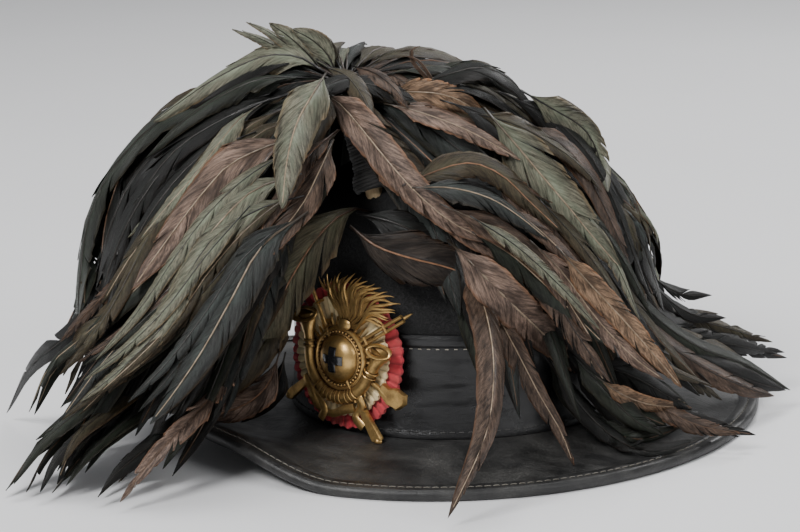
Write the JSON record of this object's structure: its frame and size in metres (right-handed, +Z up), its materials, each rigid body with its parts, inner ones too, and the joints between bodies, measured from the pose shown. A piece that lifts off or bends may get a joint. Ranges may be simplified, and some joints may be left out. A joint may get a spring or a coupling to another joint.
{
  "type": "plumed rifleman hat",
  "caption": "Oval felt hat with a wide leather brim, leather band, pleated cockade, cast brass badge and a full drooping cock-feather plume on a short stem.",
  "frame": {"origin": "under the middle of the whole part, on the surface that the brim rests on", "axes": "+Z up, -Y the front of the hat, +X the wearer's left"},
  "size_m": [0.3444, 0.3898, 0.1941],
  "materials": {
    "crown_felt": "black fur felt, matt and slightly furry",
    "brim_leather": "black leather, satin, scuffed and dusty",
    "edge_leather": "black leather, worn satin",
    "band_leather": "black patent leather, wrinkled gloss",
    "red_ribbon": "faded red pleated ribbon",
    "cream_ribbon": "yellowed cream pleated ribbon",
    "badge_brass": "cast and gilt, aged with brown patina",
    "black_enamel": "glossy black enamel",
    "stem_wood": "pale bare wood, split at its end",
    "stem_cloth": "dark wound thread and cloth",
    "feathers": "greenish black and bronze brown cock feathers with a silky sheen"
  },
  "bodies": {
    "root": {"crown": "crown_felt", "brim": "brim_leather", "brim_edge": "edge_leather", "hat_band": "band_leather", "cockade_rim": "red_ribbon", "cockade_centre": "cream_ribbon", "badge": "badge_brass", "badge_cross": "black_enamel", "plume_stem": "stem_wood", "stem_wrap": "stem_cloth", "plume": "feathers"}
  },
  "joints": []
}
